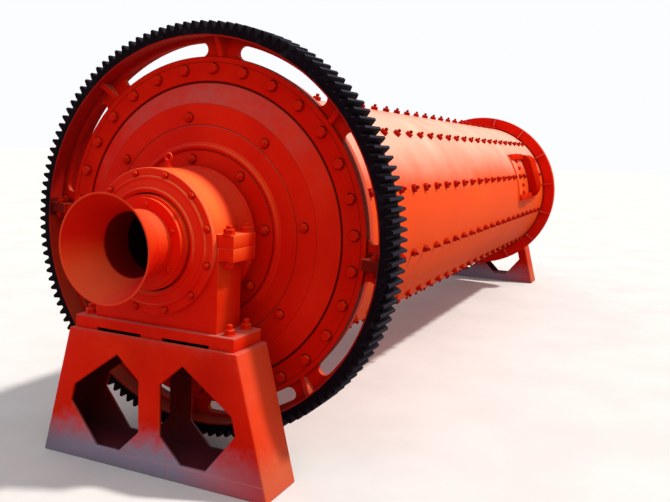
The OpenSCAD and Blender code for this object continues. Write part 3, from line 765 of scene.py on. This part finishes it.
def pedestal_material(name):
    """Enamel with a painted highlight along the foot seam, more dust to one side, ground dust lit and shaded,
    and painted shade inside and under the slots.
    """
    made, n, shader, dust = enamel_material(name, patches=0.85, runs=0.2, gloss=0.48, gleam=0.08,
                                            slopes=0.5, foot_height=0.27, bleach=0.3, warm=0.35)
    parts = n.parts(n.place())
    n.feed(dust.inputs["At the foot"], n.ramp(parts[1], -0.75, -0.15, 0.05, 0.95, smooth=False))
    off_middle = off_line(n, n.absolute(parts[0]), HOUSING_PLACE)
    half_width = n.minus(PEDESTAL_FOOT, n.times(parts[2], PEDESTAL_SLOPE))
    depth = n.minus(half_width, n.absolute(parts[1]))
    lean = n.parts(n.coordinates()["Normal"])
    # Lit and shaded copies of the ground dust: the warm lit one on outer faces toward -Y, the blue shaded one
    # elsewhere.
    sunlit_side = n.times(n.ramp(lean[1], -0.3, -0.8), n.ramp(depth, 0.03, 0.015))
    n.feed(dust.inputs["Ground dust"], n.mix(sunlit_side, named_colour("ground_dust"), SUNLIT_DUST_COPY))
    # Painted shade inside the pedestal's hollow.
    inner = n.times(n.ramp(off_middle, PEDESTAL_HALF - 0.004, PEDESTAL_HALF - 0.025),
                   n.ramp(depth, 0.006, 0.022))
    inner = n.times(inner, n.ramp(parts[2], PEDESTAL_TOP - 0.010, PEDESTAL_TOP - 0.025))
    # Painted shade on the pedestal's top inside the sole plate's slots.
    under = n.times(n.ramp(parts[2], PEDESTAL_TOP - 0.0012, PEDESTAL_TOP - 0.0006),
                   n.ramp(off_middle, SOLE_HALF + 0.001, SOLE_HALF - 0.001))
    off_slot = off_line(n, n.absolute(parts[1]), SLOT_MIDDLE)
    under = n.times(under, n.ramp(off_slot, SLOT_HALF + 0.001, SLOT_HALF - 0.001))
    # Painted highlight along the foot seam and its two short drops.
    line = n.times(thin_line(n, parts[2], SEAM_HEIGHT), n.ramp(parts[1], *SEAM_STOP))
    for y in SEAM_DROPS:
        below = n.ramp(parts[2], SEAM_HEIGHT + 0.002, SEAM_HEIGHT)
        line = n.math("MAXIMUM", line, n.times(thin_line(n, parts[1], y), below))
    line = n.times(line, n.ramp(off_middle, PEDESTAL_HALF - 0.006, PEDESTAL_HALF - 0.002))
    seamed = n.mix(n.times(line, 0.5), dust.outputs["Color"], SEAM_HIGHLIGHT)
    inside = n.mix(n.ramp(parts[2], *HOLLOW_FLOOR), named_colour("hollow"), named_colour("hollow_dust"))
    colour = n.mix(n.times(inner, 0.97), seamed, inside)
    n.paint(shader, n.mix(under, colour, SLOT_SHADE))
    n.feed(shader.inputs["Roughness"], n.mix_value(inner, dust.outputs["Roughness"], 0.85))
    return made


def metal_material(name, colour, rough):
    """Browned or greased metal with small spots."""
    made, n, shader = shell_of(name)
    spots = n.noise(n.place(), 40.0, 4.0, 0.6)
    n.paint(shader, n.mix(n.ramp(spots, 0.42, 0.7), colour, tone(colour, 2.2)))
    n.feed(shader.inputs["Roughness"], n.plus(rough, n.times(spots, 0.25)))
    shader.inputs["Specular IOR Level"].default_value = 0.04
    rise = n.add("ShaderNodeBump", {"Strength": 0.2, "Distance": 0.002, "Height": spots})
    n.feed(shader.inputs["Normal"], rise.outputs[0])
    return made


def material(name):
    """The named finish, made the first time that it is asked for."""
    known = bpy.data.materials.get(name)
    if known:
        return known
    makers = {
        # Each finish's share of painted sunlight is set here; on the drum it paints the pale sunlit top.
        "enamel_drum": lambda: hollow_enamel(
            name, SHELL_RADIUS - 0.012, drum=True, patches=0.3, patch_scale=1.6, runs=0.05, brushing=0.12,
            gloss=0.46, gleam=0.03, bleach=1.0, bleach_from=0.74, bleach_to=1.12, slopes=0.0, bump=0.015,
            cloud=0.16),
        # Frame enamel paler than the drum's, as painted light on its shaded end faces.
        "enamel_frame": lambda: plain_enamel(
            name, drum=True, patches=0.6, patch_scale=9.0, gloss=0.46, gleam=0.03, bleach=0.8,
            bleach_from=0.74, bleach_to=1.12, slopes=0.0, warm=0.6),
        "enamel_manhole": lambda: plain_enamel(
            name, patches=0.6, patch_scale=7.0, gloss=0.52, gleam=0.0, bleach=0.08, slopes=0.0, shade=0.86),
        "enamel_ends": lambda: end_material(
            name, patches=0.35, patch_scale=2.4, gloss=0.46, gleam=0.15, bleach=0.5),
        "enamel_neck": lambda: hollow_enamel(
            name, JOURNAL_BORE, clean=CLEAN_JOURNAL, patches=0.35, patch_scale=2.4, gloss=0.46,
            gleam=0.15, bleach=0.35, slopes=0.6),
        "enamel_mouth": lambda: mouth_material(
            name, patches=0.25, patch_scale=5.0, gloss=0.42, gleam=0.18, bleach=0.4, slopes=0.15),
        "enamel_bearing": lambda: bearing_material(
            name, patches=0.3, patch_scale=4.0, gloss=0.42, gleam=0.12, bleach_from=0.40, slopes=0.12),
        "enamel_sole": lambda: sole_material(
            name, patches=0.5, patch_scale=4.0, gloss=0.45, gleam=0.12, slopes=0.8, bleach=0.3),
        # Bolt heads a little darker than the castings, as painted shade.
        "enamel_bolts": lambda: plain_enamel(
            name, patches=0.3, patch_scale=9.0, gloss=0.42, gleam=0.12, bleach=0.2, slopes=0.0, shade=0.85),
        "enamel_nuts": lambda: plain_enamel(
            name, patches=0.8, patch_scale=9.0, gloss=0.45, gleam=0.05, bleach=0.15, slopes=0.0, shade=0.67),
        # Washers in near-black enamel, painted shadow round each bolt head.
        "enamel_washers": lambda: plain_enamel(
            name, patches=0.8, patch_scale=9.0, gloss=0.6, gleam=0.02, bleach=0.0, slopes=0.0, shade=0.28),
        "enamel_gear": lambda: gear_material(name),
        "enamel_pedestal": lambda: pedestal_material(name),
        "stud_tip": lambda: metal_material(name, named_colour("tip"), 0.55),
        "greased_bush": lambda: metal_material(name, BUSH_GREASE_AND_SHADE, 0.8),
    }
    return makers[name]()


FINISHES = (
    ("ring_gear", "enamel_gear"), ("bush", "greased_bush"), ("pedestal", "enamel_pedestal"),
    ("sole_plate", "enamel_sole"), ("bearing", "enamel_bearing"), ("front_cover", "enamel_bearing"),
    ("rear_cover", "enamel_bearing"), ("lifting_eye", "enamel_bearing"), ("mouth", "enamel_mouth"),
    ("trunnion", "enamel_neck"), ("shell_flange", "enamel_ends"), ("cover", "enamel_ends"),
    ("drum_shell", "enamel_drum"), ("manhole_frame", "enamel_frame"), ("manhole", "enamel_manhole"),
)


def finish_of(node):
    for word, finish in FINISHES:
        if word in node:
            return finish
    raise ValueError(node)


class BALLMILL_OT_finishes(bpy.types.Operator):
    """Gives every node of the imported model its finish"""
    bl_idname = "ballmill.finishes"
    bl_label = "Finishes"

    def execute(self, context):
        for name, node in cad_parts.items():
            node.data.materials.clear()
            node.data.materials.append(material(finish_of(name)))
        return {"FINISHED"}


class BALLMILL_OT_liner_bolts(bpy.types.Operator):
    """Rows of liner nuts with their stud ends along the drum"""
    bl_idname = "ballmill.liner_bolts"
    bl_label = "Liner bolts"

    def execute(self, context):
        sizes = context.scene.mill_sizes
        nut = fastener("liner_bolts", sizes.liner_nut, 0.022, stud=(0.011, 0.017),
                       washer=(0.027, 0.004), fine=False,
                       finish="enamel_nuts", under="enamel_nuts", tip="stud_tip")
        places = []
        for row in range(sizes.liner_rows):
            degrees = LINER_FIRST_ANGLE + row * 360 / sizes.liner_rows
            outward = outward_at(degrees)
            for i in range(sizes.liner_count):
                x = sizes.liner_first + i * sizes.liner_pitch
                foot = self.foot_radius(x, degrees)
                if foot:
                    point = Vector((x, 0, AXIS_HEIGHT)) + outward * foot
                    places.append(place_on(point, outward, turns.uniform(0, math.pi / 3)))
        spread(nut, places, "liner_bolts", ROTOR)
        nut = fastener("manhole_nuts", 0.036, 0.018, stud=(0.010, 0.008))
        places = []
        for degrees in MANHOLE_NUT_ANGLES:
            outward = outward_at(degrees)
            point = Vector((MANHOLE_NUT_PLACE, 0, AXIS_HEIGHT)) + outward * (FRAME_TOP - ROUND_SINK)
            places.append(place_on(point, outward, turns.uniform(0, math.pi / 3)))
        spread(nut, places, "manhole_nuts", ROTOR)
        return {"FINISHED"}

    def foot_radius(self, x, degrees):
        """The radius that a nut stands on: the shell, or the manhole frame beside its door."""
        if abs(degrees - MANHOLE_ANGLE) > MANHOLE_HALF_ANGLE:
            return SHELL_RADIUS - ROUND_SINK
        door_low, door_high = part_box("manhole_door")
        if door_low[0] - DOOR_CLEARANCE < x < door_high[0] + DOOR_CLEARANCE:
            return None
        low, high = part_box("manhole_frame")
        return (FRAME_TOP if low[0] < x < high[0] else SHELL_RADIUS) - ROUND_SINK


class BALLMILL_OT_flange_bolts(bpy.types.Operator):
    """Bolts that hold the gear and the end covers to the shell flanges"""
    bl_idname = "ballmill.flange_bolts"
    bl_label = "Flange bolts"

    def execute(self, context):
        sizes = context.scene.mill_sizes
        for end, side in ENDS.items():
            face = GEAR_RING_FACE if side < 0 else FLANGE_FACE
            head = fastener("bolt_head", sizes.flange_nut, 0.020, washer=(0.030, 0.003))
            places = ring_places(side, first=8, count=30, radius=FLANGE_RING, s=face - FLAT_SINK)
            spread(head, places, end + "_flange_bolts", ROTOR)
        return {"FINISHED"}


class BALLMILL_OT_cover_bolts(bpy.types.Operator):
    """Bolts of the end covers and of the trunnion flanges"""
    bl_idname = "ballmill.cover_bolts"
    bl_label = "Cover bolts"

    def execute(self, context):
        sizes = context.scene.mill_sizes
        for end, side in ENDS.items():
            for label, radius, face in (("cover_bolts", COVER_RING, RAISED_FLAT),
                                        ("trunnion_bolts", TRUNNION_RING, NECK_FLANGE_FACE)):
                head = fastener(label, sizes.cover_nut, 0.018, stud=(0.013, 0.010), washer=(0.027, 0.003))
                places = ring_places(side, first=37.2, count=8, radius=radius, s=face - FLAT_SINK)
                spread(head, places, end + "_" + label, ROTOR)
        return {"FINISHED"}


class BALLMILL_OT_joint_bolts(bpy.types.Operator):
    """Bolts through the joint lugs of the two gear halves"""
    bl_idname = "ballmill.joint_bolts"
    bl_label = "Gear joint bolts"

    def execute(self, context):
        places = []
        for base in (SPLIT_ANGLE, SPLIT_ANGLE + 180):
            radial, across = outward_at(base), outward_at(base + 90)
            for s in GEAR_JOINT_DEPTHS:
                middle = Vector((-(HALF_LENGTH + s), 0, AXIS_HEIGHT)) + radial * GEAR_JOINT_RING
                for way in (1, -1):
                    point = middle + across * (GEAR_LUG_HALF * way)
                    places.append(place_on(point, across * way, turns.uniform(0, 1)))
        nut = fastener("gear_joint_bolts", 0.036, 0.019, stud=(0.012, 0.012), washer=(0.022, 0.003),
                       finish="enamel_nuts")
        spread(nut, places, "gear_joint_bolts", ROTOR)
        return {"FINISHED"}


class BALLMILL_OT_mouth_bolts(bpy.types.Operator):
    """Small bolts that hold the mouths on the trunnions"""
    bl_idname = "ballmill.mouth_bolts"
    bl_label = "Mouth bolts"

    def execute(self, context):
        for end, side in ENDS.items():
            head = fastener("mouth_bolts", 0.019, 0.009, stud=(0.006, 0.004))
            places = ring_places(side, first=98, count=6, radius=MOUTH_RING,
                                 s=MOUTH_FLANGE_FACE - SMALL_SINK)
            spread(head, places, end + "_mouth_bolts", ROTOR)
        return {"FINISHED"}


class BALLMILL_OT_bearing_bolts(bpy.types.Operator):
    """Front cover bolts and plugs, joint studs and hold-down bolts of both bearings"""
    bl_idname = "ballmill.bearing_bolts"
    bl_label = "Bearing bolts"

    def execute(self, context):
        for end, side in ENDS.items():
            self.front_cover(end, side)
            self.split_housing(end, side, context.scene.mill_sizes.bearing_nut)
        return {"FINISHED"}

    def front_cover(self, end, side):
        """Twelve small bolts and a plug on the front cover."""
        face = FRONT_COVER_FACE - FLAT_SINK
        head = fastener("bolts", 0.027, 0.014, stud=(0.009, 0.005), washer=(0.0185, 0.002))
        places = ring_places(side, first=14.5, count=12, radius=FRONT_COVER_RING, s=face)
        spread(head, places, end + "_front_cover_bolts", STAND)
        plug = post(16, 0.010, 0.0, 0.009, 0.002, "plug", "enamel_bolts")
        place = place_on(on_end(side, 87, PLUG_RING, face), (side, 0, 0))
        spread(plug, [place], end + "_front_cover_plug", STAND)

    def split_housing(self, end, side, flats):
        """Studs through the joint lugs, and bolts that hold the sole plate down."""
        studs, holds = [], []
        for y in (-1, 1):
            for dx in (-STUD_OFFSET, STUD_OFFSET):
                x = side * (HOUSING_PLACE + dx)
                for up in (1, -1):
                    point = (x, y * STUD_ROW, AXIS_HEIGHT + up * (LUG_TOP - FLAT_SINK))
                    studs.append(place_on(point, (0, 0, up), turns.uniform(0, 1)))
                x = side * (HOUSING_PLACE + dx * HOLD_DOWN_OFFSET)
                point = (x, y * HOLD_DOWN_ROW, SOLE_TOP - FLAT_SINK)
                holds.append(place_on(point, (0, 0, 1), turns.uniform(0, 1)))
        for places, label, stud, washer in (
                (studs, "_joint_studs", (0.014, 0.016), (0.030, 0.004)),
                (holds, "_hold_down_bolts", (0.014, 0.022), (0.031, 0.005))):
            nut = fastener("nut", flats, 0.024, stud=stud, washer=washer, under="enamel_bolts")
            spread(nut, places, end + label, STAND)


class BALLMILL_OT_castings(bpy.types.Operator):
    """Rounds the edges of the pedestals, sole plates, bearing housings and manhole pieces"""
    bl_idname = "ballmill.castings"
    bl_label = "Castings"

    def execute(self, context):
        edge = context.scene.mill_sizes.casting_edge
        for end in ENDS:
            self.round_off(end + "_pedestal", STAND, "pedestal_enamel", edge * 1.4, self.outside_pedestal)
            self.round_off(end + "_sole_plate", STAND, "bearing_enamel", edge)
            self.round_off(end + "_bearing_base", STAND, "bearing_enamel", edge)
            self.round_off(end + "_bearing_cap", STAND, "bearing_enamel", edge * 0.7)
        self.round_off("manhole_door", ROTOR, "drum_enamel", edge)
        for clamp in ("manhole_upper_clamp", "manhole_lower_clamp"):
            self.round_off(clamp, ROTOR, "drum_enamel", edge * 0.6)
        return {"FINISHED"}

    def outside_pedestal(self, point):
        """Whether an edge's middle lies on the outside of a pedestal, and not in its hollow."""
        off_middle = abs(abs(point.x) - HOUSING_PLACE)
        half_width = PEDESTAL_FOOT - PEDESTAL_SLOPE * point.z
        return (off_middle > PEDESTAL_HALF - 0.001 or point.z > PEDESTAL_TOP - 0.001
                or abs(point.y) > half_width - 0.002)

    def merged_copy(self, node):
        """A copy of a node with its loose triangles merged into whole faces."""
        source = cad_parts[node]
        piece = source.copy()
        piece.data = source.data.copy()
        for key in list(piece.keys()):
            del piece[key]
        piece.parent = None
        piece.matrix_world = Matrix.Identity(4)
        piece.name = node + "_casting"
        bpy.context.collection.objects.link(piece)
        only(piece)
        mode("EDIT")
        bpy.ops.mesh.select_all(action="SELECT")
        bpy.ops.mesh.remove_doubles(threshold=0.00005)
        bpy.ops.mesh.dissolve_limited(angle_limit=math.radians(0.5))
        return piece

    def pick_sharp(self, piece, wanted):
        """Leaves just the sharp edges selected, or those of them that wanted(middle) names."""
        bpy.ops.mesh.select_mode(type="EDGE")
        bpy.ops.mesh.select_all(action="DESELECT")
        bpy.ops.mesh.edges_select_sharp(sharpness=math.radians(40))
        mode("OBJECT")
        mesh = piece.data
        picked = []
        for line in mesh.edges:
            low, high = (mesh.vertices[i].co for i in line.vertices)
            picked.append(line.select and (wanted is None or wanted((low + high) / 2)))
        for parts in (mesh.vertices, mesh.polygons):
            parts.foreach_set("select", [False] * len(parts))
        mesh.edges.foreach_set("select", picked)
        mode("EDIT")

    def round_off(self, node, body, slot, size, wanted=None):
        """Stands a copy of a node in for it, with its sharp edges rounded."""
        piece = self.merged_copy(node)
        self.pick_sharp(piece, wanted)
        bpy.ops.mesh.bevel(offset=size, segments=3, affect="EDGES", clamp_overlap=True)
        mode("OBJECT")
        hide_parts(node)
        finish_piece(piece, body, 30)


class BALLMILL_OT_stage(bpy.types.Operator):
    """The pale floor, the camera and the lamps"""
    bl_idname = "ballmill.stage"
    bl_label = "Stage"

    def execute(self, context):
        self.floor()
        self.camera(context)
        self.lamps(context)
        return {"FINISHED"}

    def floor(self):
        deselect()
        bpy.ops.mesh.primitive_plane_add(size=120, location=(20, 0, -0.0005))
        floor = apply_place(bpy.context.active_object)
        floor.name = "floor"
        made, n, shader = shell_of("pale_floor")
        colour = named_colour("floor")
        shade = n.mix(n.ramp(n.noise(n.place(), 1.4, 4.0), 0.35, 0.7), colour, tone(colour, 0.93))
        seen = n.add("ShaderNodeLightPath").outputs["Is Camera Ray"]
        n.paint(shader, n.mix(seen, named_colour("bounce"), shade))
        shader.inputs["Roughness"].default_value = 0.9
        shader.inputs["Specular IOR Level"].default_value = 0.2
        floor.data.materials.append(made)

    def camera(self, context):
        data = bpy.data.cameras.new("camera")
        camera = bpy.data.objects.new("camera", data)
        context.collection.objects.link(camera)
        yaw, pitch, roll = CAMERA_ANGLES
        data.sensor_fit = "HORIZONTAL"
        data.sensor_width = SENSOR_WIDTH
        data.lens = CAMERA_FOCAL / PHOTO_WIDTH * SENSOR_WIDTH
        data.clip_end = 300
        forward = Vector((math.cos(yaw) * math.cos(pitch), math.sin(yaw) * math.cos(pitch), math.sin(pitch)))
        side = forward.cross(Vector((0, 0, 1))).normalized()
        top = side.cross(forward)
        right = side * math.cos(roll) + top * math.sin(roll)
        up = top * math.cos(roll) - side * math.sin(roll)
        place = Matrix((right, up, -forward)).transposed().to_4x4()
        place.translation = Vector(CAMERA_PLACE)
        camera.matrix_world = place
        context.scene.camera = camera

    def lamps(self, context):
        scene = context.scene
        scene.view_settings.view_transform = "Standard"
        world = bpy.data.worlds.new("soft_sky")
        scene.world = world
        world.use_nodes = True
        n = Nodes(world.node_tree)
        back = world.node_tree.nodes["Background"]
        path = n.add("ShaderNodeLightPath").outputs
        above = n.parts(n.coordinates()["Generated"])[2]
        mirrored = n.mix(n.ramp(above, -0.1, 0.6), SKY_LOW, SKY_WHITE)
        shade = n.mix(path["Is Glossy Ray"], SKY_LIGHT, mirrored)
        n.feed(back.inputs["Color"], n.mix(path["Is Camera Ray"], shade, SKY_WHITE))
        self.sun("key_lamp", towards=(0.27, -0.49, 0.83), strength=3.1, degrees=4.0,
                 colour=(1.0, 0.96, 0.90))
        self.sun("fill_lamp", towards=(-0.65, -0.35, 0.68), strength=0.5, degrees=70.0,
                 colour=(1.0, 1.0, 1.0))

    def sun(self, name, towards, strength, degrees, colour):
        """A lamp whose light comes from one side; its width is in degrees."""
        data = bpy.data.lights.new(name, "SUN")
        data.energy = strength
        data.angle = math.radians(degrees)
        data.color = colour
        lamp = bpy.data.objects.new(name, data)
        bpy.context.collection.objects.link(lamp)
        lamp.rotation_euler = Vector(towards).to_track_quat("Z", "Y").to_euler()


class BALLMILL_PT_panel(bpy.types.Panel):
    """Lists the steps that dress the ball mill"""
    bl_idname = "BALLMILL_PT_panel"
    bl_label = "Ball mill"
    bl_space_type = "VIEW_3D"
    bl_region_type = "UI"
    bl_category = "Ball mill"

    def draw(self, context):
        for step in STEPS:
            self.layout.operator(step.bl_idname)
        for group in (context.scene.mill_sizes, context.scene.mill_colours):
            for name in group.bl_rna.properties.keys():
                if name not in ("rna_type", "name"):
                    self.layout.prop(group, name)


STEPS = (
    BALLMILL_OT_finishes,
    BALLMILL_OT_liner_bolts,
    BALLMILL_OT_flange_bolts,
    BALLMILL_OT_cover_bolts,
    BALLMILL_OT_joint_bolts,
    BALLMILL_OT_mouth_bolts,
    BALLMILL_OT_bearing_bolts,
    BALLMILL_OT_castings,
    BALLMILL_OT_stage,
)
CLASSES = (MillSizes, MillColours, *STEPS, BALLMILL_PT_panel)


def register():
    for cls in CLASSES:
        bpy.utils.register_class(cls)
    bpy.types.Scene.mill_sizes = bpy.props.PointerProperty(type=MillSizes)
    bpy.types.Scene.mill_colours = bpy.props.PointerProperty(type=MillColours)


def unregister():
    del bpy.types.Scene.mill_colours
    del bpy.types.Scene.mill_sizes
    for cls in reversed(CLASSES):
        bpy.utils.unregister_class(cls)


def main():
    register()
    for step in STEPS:
        area, name = step.bl_idname.split(".")
        getattr(getattr(bpy.ops, area), name)()


if __name__ == "__main__":
    main()
